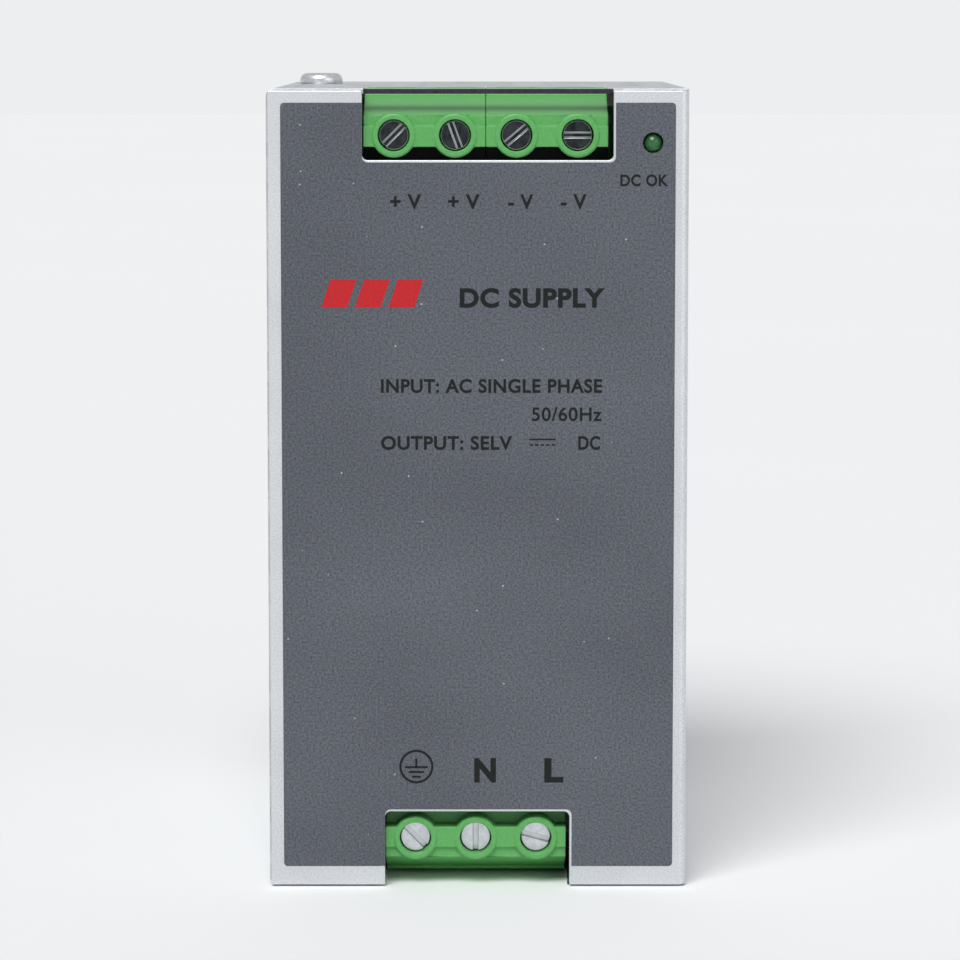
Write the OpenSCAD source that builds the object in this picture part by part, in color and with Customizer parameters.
// DIN-rail power supply: bent metal case, screw terminals top and bottom,
// rail clip with a sprung latch at the back, power board inside.
// +Z is up, the front face looks towards -Y, the origin is under the middle.

/* [Case] */
// Width of the case
case_w = 65.5; // [65:0.5:68]
// Height of the case
case_h = 125.2; // [124:0.2:128]
// Depth of the case and its rail clip
total_d = 100; // [99:0.5:104]
// Depth that the rail clip takes behind the case
clip_d = 7; // [7:0.1:7.6]
// Thickness of the aluminium chassis
chassis_t = 1.5; // [1.2:0.1:1.6]
// Thickness of the steel cover
cover_t = 0.8; // [0.6:0.1:1]
// Thickness of the printed front film
film_t = 0.15; // [0.1:0.05:0.2]
// Length of one ventilation slot
vent_l = 16; // [10:1:17]
// Width of one ventilation slot
vent_w = 2.6; // [2:0.1:3]

/* [Terminals] */
// Distance between neighbouring poles
pole_pitch = 9.5; // [9.4:0.1:9.6]
// Poles of the input block
input_poles = 3; // [3:1:3]
// Depth of the screw axes from the end of the case
screw_t = 7.2; // [7:0.1:7.3]
// Diameter of the clamp screw heads
head_dia = 4.6; // [4.2:0.1:4.7]
// Travel of a clamp cage
cage_travel = 4.3; // [4:0.1:4.3]

/* [Rail clip] */
// Width of the mounting rail
rail_w = 35; // [35:0.1:35.2]
// Travel of the latch
latch_travel = 4.5; // [3:0.5:4.5]
// Turns of the latch spring
spring_turns = 6; // [4:1:7]

/* [Hidden] */
$fn = 48;

// places of the case
front_y = -total_d / 2;
panel_y = front_y + film_t;
inner_front_y = panel_y + chassis_t;
back_y = total_d / 2 - clip_d;
inner_back_y = back_y - chassis_t;
right_x = case_w / 2;
left_x = -case_w / 2;
inner_right_x = right_x - chassis_t;
inner_left_x = left_x + cover_t;
panel_left_x = left_x + 0.3;
face_x = (panel_left_x + right_x) / 2;
rim = 0.3;                  // the cover stands this proud of the panel's ends
fit = 0.05;                 // air between pieces that touch
bend_r = 1.2;
eps = 0.1;

// places of the terminals, depths are behind the front face
output_x = face_x + 1.14;
input_x = face_x - 0.44;
two_poles_w = 2 * pole_pitch;
block_d = 21.5;
window_d = 3.7;             // the strip of cover in front of the output terminals
boss_r = 3.475;
well_r = 2.475;
head_d0 = 2.9;              // front of a screw head
head_h = 2.1;
shank_r = 1.45;
shank_d1 = 12.4;            // back end of a clamp screw
chamber_d0 = 6.3;
chamber_d1 = 19.9;
chamber_w = 7.2;
cage_w = 6.6;
cage_d0 = 10.7;             // an open cage
cage_d1 = 19.6;
cage_h = 7.2;
cage_wall = 0.9;
bar_d0 = 12.6;              // fixed contact bar inside the cage
bar_t = 1;
entry_w = 4.8;              // wire entry
entry_d0 = 13.7;
entry_d1 = 18.1;
output_angles = [45, -70, 40, 0];
input_angles = [-15, 90, -45];

// places of the notches and the film
notch_out = [face_x - 18, face_x + 20.9, 10.7];
notch_in = [face_x - 14.7, face_x + 14.3, 11.7];
film_left = panel_left_x + 2;
film_right = right_x - 2.1;
film_top = case_h - rim - 1.85;
film_bottom = rim + 3;
led_x = face_x + 27;
led_z = case_h - rim - 8;

// places of the boards
board_t = 1.6;
board_x = 25.6;             // component face of the main board
board_y0 = -31;
board_y1 = 39;
board_z0 = 4;
board_z1 = 121;
small_y = front_y + block_d + eps;
small_h = 21.5;
out_board_z = case_h - 3 - small_h;
in_board_z = 3;
tab_zs = [3, 14.5];
tab_h = 4;
standoff_yz = [[-20, 33], [34, 10], [34, 115], [-20, 93]];
standoff_r = 2.6;

// fasteners of the cover
top_screw = [left_x + 6.25, front_y + 63];
side_screw_yz = [[-42, 40], [-42, 85], [36, 40], [36, 85]];
m3_r = 1.45;
nut_r = 2.8;

// trimmer
trim_x = -22.3;
trim_z = 112;
trim_w = 6.6;
trim_l = 5;
rotor_r = 1.8;

// power parts along the back wall, [height above the base]
transistor_zs = [50, 64];
diode_zs = [92, 106];
rectifier_z = 22;
device_x = 13;
pad_t = 0.3;

// rail clip
rail_z = case_h / 2;
plate_t = 1.2;
seat_y = back_y + plate_t;
rail_top = rail_z + rail_w / 2;
rail_low = rail_z - rail_w / 2;
latch_y = seat_y + eps;
latch_w = 18;
latch_z0 = 8;
spring_z0 = 23.2;
spring_z1 = 34;
spring_r = 1.9;
wire_r = 0.3;
spring_y = latch_y + 2.55;

// ---------- shared shapes ----------

// bar with a rounded outline, drawn flat
module round_rect(x0, y0, x1, y1, r) {
    translate([x0 + r, y0]) square([x1 - x0 - 2 * r, y1 - y0]);
    translate([x0, y0 + r]) square([x1 - x0, y1 - y0 - 2 * r]);
    for (x = [x0 + r, x1 - r], y = [y0 + r, y1 - r]) translate([x, y]) circle(r);
}

// block between two corners
module block(a, b) translate(a) cube(b - a);

// a flat outline in X and Z, standing between two depths
module upright(y0, y1) translate([0, y1, 0]) rotate([90, 0, 0]) linear_extrude(y1 - y0) children();

// rod along Y between two depths
module rod_y(x, z, y0, y1, r) translate([x, y0, z]) rotate([-90, 0, 0]) cylinder(h = y1 - y0, r = r);

// rod along X
module rod_x(y, z, x0, x1, r) translate([x0, y, z]) rotate([0, 90, 0]) cylinder(h = x1 - x0, r = r);

// puts a part on the main board: its x runs up, its y runs back, its z leaves the board
module on_board(y, z) translate([board_x, y, z]) rotate([0, -90, 0]) children();

// puts a part at the top end of the face, depths run back, z runs down from the top
module at_top(x) translate([x, front_y, case_h]) children();

// the same at the bottom end, turned over
module at_bottom(x) translate([x, front_y, rim]) rotate([0, 180, 0]) children();

// ---------- case ----------

// the panel's two notches, open at the ends of the case
module notches(grow_x, grow_z) {
    round_rect(notch_out[0], case_h - rim - notch_out[2] - grow_z, notch_out[1] + grow_x, case_h + 9, 0.9);
    round_rect(notch_in[0], rim - 9, notch_in[1] + grow_x, rim + notch_in[2] + grow_z, 0.9);
}

module chassis_outline() {
    difference() {
        round_rect(panel_left_x, panel_y, right_x, back_y, bend_r);
        translate([panel_left_x - 1, inner_front_y])
            square([inner_right_x - panel_left_x + 1 - 0.4, inner_back_y - inner_front_y]);
        translate([inner_right_x - 0.5, inner_front_y + 0.4])
            square([0.5, inner_back_y - inner_front_y - 0.8]);
    }
    translate([panel_left_x, panel_y]) square([3, chassis_t]);
}

module back_slice() translate([inner_left_x + fit, inner_back_y]) square([3, chassis_t]);

module chassis() color("#cfd2d5") difference() {
    union() {
        translate([0, 0, cover_t + fit]) linear_extrude(case_h - 2 * cover_t - 2 * fit) difference() {
            union() {
                chassis_outline();
                back_slice();
            }
            translate([left_x - 1, inner_back_y - 1]) square([cover_t + fit + 1, 9]);
        }
        translate([0, 0, rim]) linear_extrude(case_h - 2 * rim) intersection() {
            chassis_outline();
            translate([left_x, front_y]) square([case_w + 1, film_t + chassis_t]);
        }
        // ears behind the left edge that the cover is screwed to
        for (p = side_screw_yz) {
            y0 = p[0] < 0 ? inner_front_y - eps : p[0] - 5.5;
            y1 = p[0] < 0 ? p[0] + 5.5 : inner_back_y + eps;
            block([inner_left_x + fit, y0, p[1] - 6], [inner_left_x + fit + chassis_t, y1, p[1] + 6]);
        }
        // tongue under the top of the cover
        block([inner_left_x + 1, top_screw[1] - 8, case_h - cover_t - fit - chassis_t],
              [inner_left_x + 15, inner_back_y + eps, case_h - cover_t - fit]);
    }
    upright(front_y - 1, inner_front_y + eps) notches(0, 0);
    rod_y(led_x, led_z, front_y - 1, inner_front_y + 1, 1.6);
    for (p = side_screw_yz) rod_x(p[0], p[1], left_x, inner_left_x + 5, 2.05);
    translate([top_screw[0], top_screw[1], case_h - 5]) cylinder(h = 6, r = 2.05);
    for (p = standoff_yz) rod_x(p[0], p[1], inner_right_x - 1, right_x + 1, standoff_r - 0.6);
    for (p = rivet_xz) rod_y(p[0], p[1], inner_back_y - 1, back_y + 1, 1.5 + fit);
    for (z = clamp_zs) rod_y(device_x, z, inner_back_y - 1, back_y + 1, m3_r + fit);
}

module vent_slot(x, y) translate([x, y]) {
    translate([-vent_l / 2 + vent_w / 2, -vent_w / 2]) square([vent_l - vent_w, vent_w]);
    for (s = [-1, 1]) translate([s * (vent_l - vent_w) / 2, 0]) circle(vent_w / 2);
}

module vent_slots() {
    for (i = [0 : 10]) {
        y = -22 + 5.6 * i;
        vent_slot(-2, y);
        vent_slot(19, y);
        if (y < top_screw[1] - 12) vent_slot(-22, y);
    }
}

// countersunk hole or head on the left wall
module side_sink(extra) for (p = side_screw_yz) {
    translate([left_x - extra, p[0], p[1]]) rotate([0, 90, 0])
        cylinder(h = cover_t + extra, r1 = 2.55 + extra, r2 = m3_r + 0.1);
}

module vent_cover() color("#b9bdc0") difference() {
    translate([0, inner_front_y, 0]) {
        translate([0, back_y - inner_front_y, 0]) rotate([90, 0, 0]) linear_extrude(back_y - inner_front_y)
            difference() {
                round_rect(left_x, 0, right_x + 9, case_h, bend_r);
                round_rect(inner_left_x, cover_t, right_x + 12, case_h - cover_t, bend_r - cover_t);
                translate([right_x, -1]) square([20, case_h + 2]);
            }
    }
    // window over the output terminals
    block([output_x - two_poles_w - 0.2, front_y + window_d, case_h - 2],
          [output_x + two_poles_w + 0.2, front_y + block_d + 0.2, case_h + 1]);
    // open notch under the input terminals
    block([input_x - pole_pitch * 1.5 - 0.2, front_y, -1],
          [input_x + pole_pitch * 1.5 + 0.2, front_y + block_d + 0.2, 2]);
    translate([0, 0, -1]) linear_extrude(case_h + 2) vent_slots();
    translate([top_screw[0], top_screw[1], case_h - 2]) cylinder(h = 3, r = m3_r + 0.1);
    for (p = side_screw_yz) rod_x(p[0], p[1], left_x - 1, inner_left_x + 1, m3_r + 0.1);
    side_sink(eps);
}

module front_film() color("#5f636e") upright(front_y, panel_y) difference() {
    round_rect(film_left, film_bottom, film_right, film_top, 0.6);
    notches(0.36, 0.36);
    translate([led_x, led_z]) circle(1.6);
}

// cross recess for a screw driver, pointing up
module cross_recess(w, deep) for (a = [0, 90])
    rotate(a) translate([-w / 2, -0.4, -deep]) cube([w, 0.8, deep + 1]);

module cover_top_screw() color("#c9ccd0") translate([top_screw[0], top_screw[1], case_h]) {
    difference() {
        rotate_extrude() {
            square([3.6, 0.6]);
            square([2.4, 1.8]);
            intersection() {
                translate([2.4, 0.6]) circle(1.2);
                square([9, 9]);
            }
        }
        translate([0, 0, 1.8]) cross_recess(3.4, 1.1);
    }
    translate([0, 0, -5]) cylinder(h = 5 + eps, r = m3_r);
}

module cover_side_screws() color("#c9ccd0") for (p = side_screw_yz)
    translate([left_x, p[0], p[1]]) rotate([0, 90, 0]) difference() {
        union() {
            cylinder(h = cover_t, r1 = 2.5, r2 = m3_r);
            cylinder(h = 5, r = m3_r);
        }
        rotate([180, 0, 0]) cross_recess(2.8, 0.9);
    }

// self-clinching nut on the inner side of a sheet, pointing up
module press_nut() difference() {
    union() {
        translate([0, 0, chassis_t]) cylinder(h = 2, r = nut_r);
        translate([0, 0, 0.3]) cylinder(h = chassis_t, r = 2);
    }
    translate([0, 0, -1]) cylinder(h = 9, r = m3_r + fit);
}

module press_nuts() color("#b8bcc0") {
    for (p = side_screw_yz)
        translate([inner_left_x + fit, p[0], p[1]]) rotate([0, 90, 0]) press_nut();
    translate([top_screw[0], top_screw[1], case_h - cover_t - fit]) rotate([180, 0, 0]) press_nut();
}

// ---------- terminals ----------

function pole_x(i, poles) = (i - (poles - 1) / 2) * pole_pitch;

// side outline of a block: depth and height below the end of the case
block_side = [
    [2, -4.1], [2, -5.7], [1.5, -5.7], [1.5, -9], [5, -9], [5, -16], [block_d, -16], [block_d, 0],
    [12.2, 0], [12.2, -0.55], [9.8, -0.55], [9.8, -1.1]
];

module block_blank(width)
    translate([-width / 2, 0, 0]) rotate([90, 0, 90]) linear_extrude(width) polygon(block_side);

module boss() rotate([-90, 0, 0]) rotate_extrude() polygon([
    [0, 0], [boss_r - 0.3, 0], [boss_r, 0.3], [boss_r, 5], [0, 5]
]);

// room for one screw, its cage, the wire and the contact pin
module pole_space() {
    rod_y(0, -screw_t, 0, head_d0 + head_h + fit, well_r);
    rod_y(0, -screw_t, 4, chamber_d0 + 1, shank_r + 0.2);
    block([-chamber_w / 2, chamber_d0, -14], [chamber_w / 2, chamber_d1, -3.3]);
    block([-entry_w / 2, entry_d0, -4], [entry_w / 2, entry_d1, 1]);
    block([-entry_w / 2 - 0.7, entry_d0 - 0.7, -0.7], [entry_w / 2 + 0.7, entry_d1 + 0.7, 1]);
    block([-0.7, chamber_d1 - 1, -14], [0.7, block_d + 1, -12.8]);
}

module terminal_block(poles) color("#4fa85a") difference() {
    union() {
        block_blank(poles * pole_pitch - fit);
        for (i = [0 : poles - 1]) translate([pole_x(i, poles), 1.2, -screw_t]) boss();
    }
    for (i = [0 : poles - 1]) translate([pole_x(i, poles), 0, 0]) pole_space();
}

module output_block_left() at_top(output_x - pole_pitch) terminal_block(2);
module output_block_right() at_top(output_x + pole_pitch) terminal_block(2);
module input_block() at_bottom(input_x) terminal_block(input_poles);

// slotted cheese-head screw that stays in its block and draws the cage forward
module clamp_screw(angle) translate([0, head_d0, -screw_t]) rotate([-90, 0, 0]) difference() {
    union() {
        cylinder(h = head_h, r = head_dia / 2);
        cylinder(h = shank_d1 - head_d0, r = shank_r);
    }
    rotate(-angle) translate([-head_dia, -0.4, -1]) cube([2 * head_dia, 0.8, 2]);
}

// clamp cage: nut at the front, window for the wire, jaw at the back
module clamp_cage() translate([0, 0, -screw_t]) difference() {
    block([-cage_w / 2, cage_d0, -cage_h / 2], [cage_w / 2, cage_d1, cage_h / 2]);
    block([-cage_w / 2 + cage_wall, cage_d0 + 1.7, -cage_h], [cage_w / 2 - cage_wall, cage_d1 - 1.4, cage_h]);
    rod_y(0, 0, cage_d0 - 1, cage_d0 + 3, shank_r + 0.07);
}

module output_screw(i) color("#8d9196") at_top(output_x + pole_x(i, 4)) clamp_screw(output_angles[i]);
module input_screw(i) color("#cfd2d6")
    at_bottom(input_x - pole_x(i, input_poles)) clamp_screw(input_angles[i]);
module output_cage(i) color("#c9a24a") at_top(output_x + pole_x(i, 4)) clamp_cage();
module input_cage(i) color("#c9a24a") at_bottom(input_x - pole_x(i, input_poles)) clamp_cage();

// contact bar in the cage's window, with a pin to the small board
module contact() {
    block([-2.1, bar_d0, -13.8], [2.1, bar_d0 + bar_t, -3.4]);
    block([-0.6, bar_d0, -13.8], [0.6, block_d + board_t + 1.6, -12.9]);
}

module output_contacts() color("#d8dade") for (i = [0 : 3]) at_top(output_x + pole_x(i, 4)) contact();
module input_contacts() color("#d8dade")
    for (i = [0 : input_poles - 1]) at_bottom(input_x + pole_x(i, input_poles)) contact();

// ---------- boards ----------

// small upright board behind a block, with two tabs into the main board
module small_board(z) {
    block([-26, small_y, z], [board_x - fit, small_y + board_t, z + small_h]);
    for (t = tab_zs)
        block([board_x - 1, small_y, z + t], [board_x + board_t + 0.8, small_y + board_t, z + t + tab_h]);
}

module output_board() color("#2f6b3a") difference() {
    small_board(out_board_z);
    for (i = [0 : 3]) at_top(output_x + pole_x(i, 4))
        block([-0.7, block_d - 1, -13.9], [0.7, block_d + 4, -12.8]);
}

module input_board() color("#2f6b3a") difference() {
    small_board(in_board_z);
    for (i = [0 : input_poles - 1]) at_bottom(input_x + pole_x(i, input_poles))
        block([-0.7, block_d - 1, -13.9], [0.7, block_d + 4, -12.8]);
}

module main_board() color("#2f6b3a") difference() {
    block([board_x, board_y0, board_z0], [board_x + board_t, board_y1, board_z1]);
    for (z = [out_board_z, in_board_z], t = tab_zs)
        block([board_x - 1, small_y - fit, z + t - fit],
              [board_x + 9, small_y + board_t + fit, z + t + tab_h + fit]);
    for (p = standoff_yz) rod_x(p[0], p[1], board_x - 1, board_x + 9, m3_r + eps);
}

module board_standoffs() color("#c4c7ca") for (p = standoff_yz) difference() {
    union() {
        rod_x(p[0], p[1], board_x + board_t, inner_right_x, standoff_r);
        rod_x(p[0], p[1], inner_right_x - 1, right_x - 0.1, standoff_r - 0.6 - 0.02);
    }
    rod_x(p[0], p[1], board_x, inner_right_x + 0.5, m3_r + fit);
}

module board_screws() color("#c9ccd0") for (p = standoff_yz)
    translate([board_x, p[0], p[1]]) rotate([0, 90, 0]) {
        difference() {
            rotate_extrude() polygon([[0, -1.9], [2, -1.9], [2.7, -1.2], [2.7, 0], [0, 0]]);
            translate([0, 0, -1.9]) rotate([180, 0, 0]) cross_recess(3, 1);
        }
        translate([0, 0, -0.5]) cylinder(h = 5.5, r = m3_r);
    }

module insulation_sheet() color("#e9e4c8") difference() {
    block([29.4, board_y0 + 1, board_z0 - 1.5], [29.8, board_y1, board_z1 + 1.5]);
    for (p = standoff_yz) rod_x(p[0], p[1], 28, 31, standoff_r + 0.2);
}

module status_led() color("#2f7a35") {
    rod_y(led_x, led_z, front_y + 1.5, front_y + 5.2, 1.5);
    rod_y(led_x, led_z, front_y + 4.2, front_y + 5.2, 1.9);
    translate([led_x, front_y + 1.5, led_z]) sphere(r = 1.5);
    for (z = [led_z - 1.52, led_z + 1.02]) {
        block([led_x - 0.25, front_y + 5, z], [led_x + 0.25, board_y0 - 1.5, z + 0.5]);
        block([board_x - 0.6, board_y0 - 2, z], [led_x + 0.25, board_y0 - 1.5, z + 0.5]);
        block([board_x - 0.6, board_y0 - 2, z], [board_x - 0.02, board_y0 + 2.5, z + 0.5]);
    }
}

module trimmer_body() color("#2f5fa8") difference() {
    block([trim_x - trim_w / 2, small_y - trim_l, trim_z - trim_w / 2],
          [trim_x + trim_w / 2, small_y - 0.02, trim_z + trim_w / 2]);
    rod_y(trim_x, trim_z, small_y - trim_l - 1, small_y - 1.5, rotor_r + 0.08);
}

module trimmer_rotor() color("#e8e4d8") difference() {
    rod_y(trim_x, trim_z, small_y - trim_l - 0.3, small_y - 1.7, rotor_r);
    block([trim_x - 9, small_y - trim_l - 1, trim_z - 0.3],
          [trim_x + 9, small_y - trim_l + 0.5, trim_z + 0.3]);
}

// ---------- power parts on the main board ----------

// transformer, measured from its middle on the board
tr_yz = [10, 74];
core_w = 38;
core_l = 33;
core_t = 12;
leg_r = 5.5;
core_foot = 1.5;

module transformer_core() color("#4a4c50") on_board(tr_yz[0], tr_yz[1]) difference() {
    translate([-core_t / 2, -core_w / 2, core_foot]) cube([core_t, core_w, core_l]);
    difference() {
        translate([-core_t, -13.5, core_foot + 5.5]) cube([2 * core_t, 27, core_l - 11]);
        cylinder(h = 60, r = leg_r);
    }
}

module transformer_bobbin() color("#26282b") on_board(tr_yz[0], tr_yz[1]) difference() {
    union() {
        translate([0, 0, core_foot + 5.7]) cylinder(h = core_l - 11.4, r = leg_r + 1.3);
        for (z = [core_foot + 5.7, core_foot + core_l - 6.9])
            translate([0, 0, z]) cylinder(h = 1.2, r = 13.2);
        for (s = [-1, 1]) {
            translate([s * 14 - 2.5, -12, 3]) cube([5, 24, 5]);
            for (i = [-2 : 2]) translate([s * 14 - 0.4, i * 5 - 0.4, 0.02]) cube([0.8, 0.8, 5]);
        }
    }
    translate([-core_t / 2 - 0.1, -core_w, 0]) cube([core_t + 0.2, 2 * core_w, core_foot + 5.6]);
    difference() {
        translate([-core_t / 2 - 0.1, -core_w, 0]) cube([core_t + 0.2, 2 * core_w, 60]);
        translate([0, 0, -1]) cylinder(h = 80, r = 13.3);
    }
    cylinder(h = 60, r = leg_r + 0.1);
}

module transformer_winding() color("#d9b54a") on_board(tr_yz[0], tr_yz[1]) difference() {
    translate([0, 0, core_foot + 7]) cylinder(h = core_l - 14, r = 12.4);
    cylinder(h = 60, r = leg_r + 1.35);
}

// can capacitor with a rolled groove near its foot
module can(r, h) rotate_extrude() polygon([
    [0, 0.3], [r - 0.5, 0.3], [r, 0.8], [r, 2.2], [r - 0.6, 2.8], [r, 3.4], [r, h - 0.6], [r - 0.6, h], [0, h]
]);

module legs(spacing) for (s = [-1, 1]) translate([0, s * spacing / 2, 0.02]) cylinder(h = 0.5, r = 0.4);

module bulk_capacitors() color("#22242a") for (y = [-10, 9.5]) on_board(y, 42) {
    can(9, 34);
    legs(7.5);
}

module output_capacitors() color("#22242a") for (z = [58, 69.5, 81]) on_board(-18, z) {
    can(5, 20);
    legs(5);
}

// toroid with its axis leaving the board
module ring_core(ro, ri, h) difference() {
    cylinder(h = h, r = ro);
    translate([0, 0, -1]) cylinder(h = h + 2, r = ri);
}

module wire_turn(ro, ri, h, w) difference() {
    translate([ri - w - fit, -w / 2, -w - fit]) cube([ro - ri + 2 * w + 2 * fit, w, h + 2 * w + 2 * fit]);
    translate([ri - fit, -w, -fit]) cube([ro - ri + 2 * fit, 2 * w, h + 2 * fit]);
}

module line_choke_core() color("#3f6f4a") on_board(27, 17) translate([0, 0, 3]) ring_core(10, 5.5, 9);

module line_choke_windings() color("#b8682e") on_board(27, 17) translate([0, 0, 3])
    for (side = [0, 180], i = [-3 : 3]) rotate(side + i * 17) wire_turn(10, 5.5, 9, 1);

module output_inductor_core() color("#d8c23a") on_board(5, 105) translate([0, 0, 3]) ring_core(12, 6.5, 10);

module output_inductor_winding() color("#b8682e") on_board(5, 105) translate([0, 0, 3])
    for (i = [0 : 15]) rotate(i * 22.5) wire_turn(12, 6.5, 10, 1.3);

module filter_capacitor() color("#d6b23a") on_board(6, 18) {
    translate([-9, -4.5, 0.5]) cube([18, 9, 15]);
    for (s = [-7.5, 7.5]) translate([s, 0, 0.02]) cylinder(h = 1, r = 0.4);
}

module input_fuse() color("#d9dcde") on_board(-16, 17) translate([0, 0, 4.2]) {
    rotate([0, 90, 0]) cylinder(h = 20, r = 2.5, center = true);
    for (s = [-1, 1]) {
        translate([s * 7.5, 0, 0]) rotate([0, 90, 0]) cylinder(h = 5.2, r = 2.7, center = true);
        translate([s * 7.5 - 1.5, -0.4, -4.18]) cube([3, 0.8, 3]);
    }
}

module surge_varistor() color("#2a5fa0") on_board(-7, 16) {
    translate([0, 2, 8.5]) rotate([90, 0, 0]) cylinder(h = 4, r = 6.5);
    for (s = [-3.7, 3.7]) translate([s, 0, 0.02]) cylinder(h = 5, r = 0.4);
}

// flat power device lying on the back wall, its legs run to the main board
module flat_device(z, w, l, t, legs_n) translate([device_x, inner_back_y - pad_t, z]) {
    block([-l / 2, -t, -w / 2], [l / 2, 0, w / 2]);
    for (i = [0 : legs_n - 1]) translate([0, -t / 2, (i - (legs_n - 1) / 2) * 2.54])
        block([l / 2 - eps, -0.3, -0.4], [board_x - device_x - 1.2, 0.3, 0.4]);
    for (i = [0 : legs_n - 1]) translate([0, -t / 2, (i - (legs_n - 1) / 2) * 2.54])
        block([board_x - device_x - 2, -3, -0.4], [board_x - device_x - 1.2, 0.3, 0.4]);
    for (i = [0 : legs_n - 1]) translate([0, -t / 2, (i - (legs_n - 1) / 2) * 2.54])
        block([board_x - device_x - 2, -3, -0.4], [board_x - device_x - 0.02, -2.2, 0.4]);
}

clamp_zs = [34, 57, 99];

module bridge_rectifier() color("#2b2d30") flat_device(rectifier_z, 19, 14, 3.4, 4);
module switch_transistors() color("#2b2d30") for (z = transistor_zs) flat_device(z, 10, 15, 4.4, 3);
module output_diodes() color("#2b2d30") for (z = diode_zs) flat_device(z, 10, 15, 4.4, 3);

module thermal_pads() color("#d9d4e4") for (z = concat(transistor_zs, diode_zs))
    block([device_x - 8.5, inner_back_y - pad_t, z - 5.4], [device_x + 7, inner_back_y, z + 5.4]);

// sprung strip that holds two devices against the wall
module clamp_bar(z) difference() {
    block([device_x - 4, inner_back_y - pad_t - 5.2, z - 11],
          [device_x + 4, inner_back_y - pad_t - 4.4, z + 11]);
    rod_y(device_x, z, 0, inner_back_y, m3_r + fit);
}

module clamp_bars() color("#aeb2b6") {
    clamp_bar(clamp_zs[1]);
    clamp_bar(clamp_zs[2]);
    difference() {
        block([device_x - 4, inner_back_y - pad_t - 4.2, rectifier_z - 8],
              [device_x + 4, inner_back_y - pad_t - 3.4, clamp_zs[0] + 4]);
        rod_y(device_x, clamp_zs[0], 0, inner_back_y, m3_r + fit);
    }
}

module clamp_screws() color("#c9ccd0") for (i = [0 : 2]) {
    y = inner_back_y - pad_t - (i == 0 ? 4.2 : 5.2);
    rod_y(device_x, clamp_zs[i], y - eps, back_y - eps, m3_r);
    translate([device_x, y - 1.9, clamp_zs[i]]) rotate([-90, 0, 0]) difference() {
        cylinder(h = 1.9, r = 2.7);
        rotate([180, 0, 0]) cross_recess(3, 1);
    }
}

// control chips and the couplers that carry the feedback
module control_chips() color("#1d1e20") {
    for (p = [[-22, 48, 5, 4], [-21, 108, 4.5, 6.5], [-25, 40, 4.5, 6.5]]) on_board(p[0], p[1])
        translate([-p[3] / 2, -p[2] / 2, 0.02]) cube([p[3], p[2], 2.4]);
}

// ---------- rail clip ----------

rivet_xz = [[-16.5, 28], [16.5, 28], [-16.5, 88], [16.5, 88]];
hook_xs = [-16, 7];
hook_w = 9;
guide_zs = [13, 27.5];

module hook(x) translate([x, 0, 0]) {
    block([0, seat_y - eps, rail_top + 0.2], [hook_w, seat_y + 3, rail_top + 1.6]);
    block([0, seat_y + 1.4, rail_top - 2.2], [hook_w, seat_y + 3, rail_top + 1.6]);
}

// guide that holds one edge of the latch against the plate
module guide(s) for (z = guide_zs) {
    block([s > 0 ? latch_w / 2 + 0.2 : -latch_w / 2 - 3.2, seat_y - eps, z],
          [s > 0 ? latch_w / 2 + 3.2 : -latch_w / 2 - 0.2, latch_y + plate_t + 1.1, z + 7]);
    block([s > 0 ? latch_w / 2 - 1.5 : -latch_w / 2 - 3.2, latch_y + plate_t + 0.1, z],
          [s > 0 ? latch_w / 2 + 3.2 : -latch_w / 2 + 1.5, latch_y + plate_t + 1.1, z + 7]);
}

module rail_bracket() color("#c4c8cc") difference() {
    union() {
        block([-21, back_y, 12], [21, seat_y, 94]);
        for (x = hook_xs) hook(x);
        for (s = [-1, 1]) guide(s);
        block([-3, seat_y - eps, spring_z0 - plate_t], [3, latch_y + 4.9, spring_z0]);
    }
    for (p = rivet_xz) {
        rod_y(p[0], p[1], back_y - 1, seat_y + 1, 1.5 + fit);
        translate([p[0], back_y + 0.2, p[1]]) rotate([-90, 0, 0]) cylinder(h = 1.1, r1 = 1.5, r2 = 2.7);
    }
}

// side outline of the latch: depth and height, its catch slopes to snap over the rail
catch_z = rail_low - 0.3;
latch_side = [
    [latch_y, latch_z0], [total_d / 2, latch_z0], [total_d / 2, latch_z0 + plate_t],
    [latch_y + plate_t, latch_z0 + plate_t], [latch_y + plate_t, catch_z - 4],
    [latch_y + 3.4, catch_z - 4], [latch_y + 3.4, catch_z - 1], [latch_y + 2.2, catch_z + 2.2],
    [latch_y + 1.4, catch_z + 2.2], [latch_y + 1.4, catch_z], [latch_y, catch_z]
];

module rail_latch() color("#c4c8cc") difference() {
    union() {
        translate([-latch_w / 2, 0, 0]) rotate([90, 0, 90]) linear_extrude(latch_w) polygon(latch_side);
        block([-3, latch_y, spring_z1], [3, latch_y + 4.9, spring_z1 + plate_t]);
    }
    // window for the spring and its stop
    block([-3.4, latch_y - 1, spring_z0 - plate_t - 0.1], [3.4, latch_y + plate_t + 1, spring_z1]);
    // slot for a screwdriver in the pull tab
    block([-3, latch_y + 2.2, latch_z0 - 1], [3, latch_y + 4, latch_z0 + 3]);
}

// ring of points round the wire at step k of the coil
spring_steps = 14;
spring_sides = 8;
spring_lift = (spring_z1 - spring_z0 - 2 * wire_r - 0.04) / (spring_turns * spring_steps);
function coil_point(k, j) =
    let (a = 360 * k / spring_steps, b = 360 * j / spring_sides, r = spring_r + wire_r * cos(b))
    [r * cos(a), r * sin(a), wire_r * sin(b) + k * spring_lift];

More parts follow.
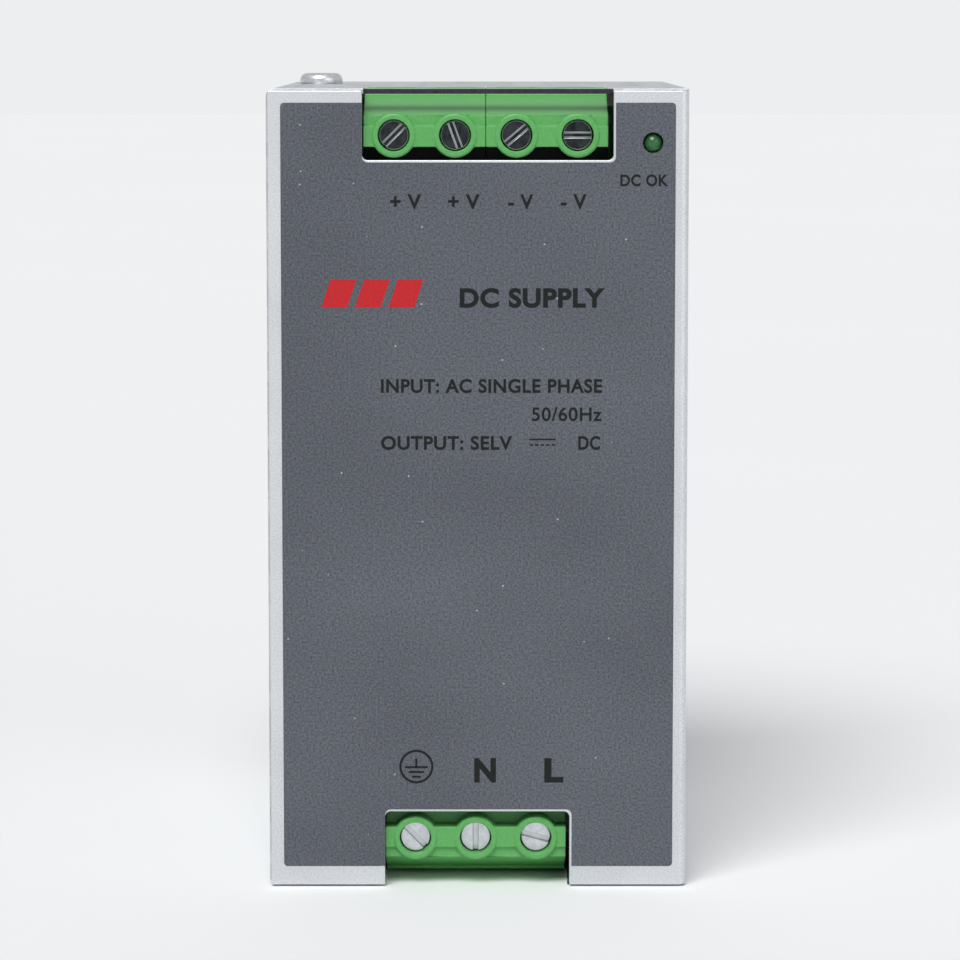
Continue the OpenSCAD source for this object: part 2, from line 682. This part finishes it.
module latch_spring() color("#9da1a6") translate([0, spring_y, spring_z0 + wire_r + 0.02]) {
    rings = spring_turns * spring_steps;
    points = [for (k = [0 : rings], j = [0 : spring_sides - 1]) coil_point(k, j)];
    sides = [for (k = [0 : rings - 1], j = [0 : spring_sides - 1])
        let (a = k * spring_sides, n = (j + 1) % spring_sides)
        [a + j, a + spring_sides + j, a + spring_sides + n, a + n]];
    first_end = [for (j = [0 : spring_sides - 1]) j];
    last_end = [for (j = [spring_sides - 1 : -1 : 0]) rings * spring_sides + j];
    polyhedron(points, concat(sides, [first_end, last_end]), convexity = 8);
}

module bracket_rivets() color("#d0d3d6") for (p = rivet_xz) {
    rod_y(p[0], p[1], inner_back_y + fit, seat_y - eps, 1.5);
    translate([p[0], back_y + 0.3, p[1]]) rotate([-90, 0, 0]) cylinder(h = 0.85, r1 = 1.5, r2 = 2.4);
}

// ---------- nodes ----------

chassis();
vent_cover();
front_film();
cover_top_screw();
cover_side_screws();
press_nuts();
output_block_left();
output_block_right();
input_block();
output_screw(0);  // output_screw_1
output_screw(1);  // output_screw_2
output_screw(2);  // output_screw_3
output_screw(3);  // output_screw_4
input_screw(0);  // input_screw_1
input_screw(1);  // input_screw_2
input_screw(2);  // input_screw_3
output_cage(0);  // output_cage_1
output_cage(1);  // output_cage_2
output_cage(2);  // output_cage_3
output_cage(3);  // output_cage_4
input_cage(0);  // input_cage_1
input_cage(1);  // input_cage_2
input_cage(2);  // input_cage_3
output_contacts();
input_contacts();
output_board();
input_board();
main_board();
board_standoffs();
board_screws();
insulation_sheet();
status_led();
trimmer_body();
trimmer_rotor();
transformer_core();
transformer_bobbin();
transformer_winding();
bulk_capacitors();
output_capacitors();
bridge_rectifier();
line_choke_core();
line_choke_windings();
filter_capacitor();
input_fuse();
surge_varistor();
switch_transistors();
output_diodes();
thermal_pads();
clamp_bars();
clamp_screws();
output_inductor_core();
output_inductor_winding();
control_chips();
rail_bracket();
rail_latch();
latch_spring();
bracket_rivets();
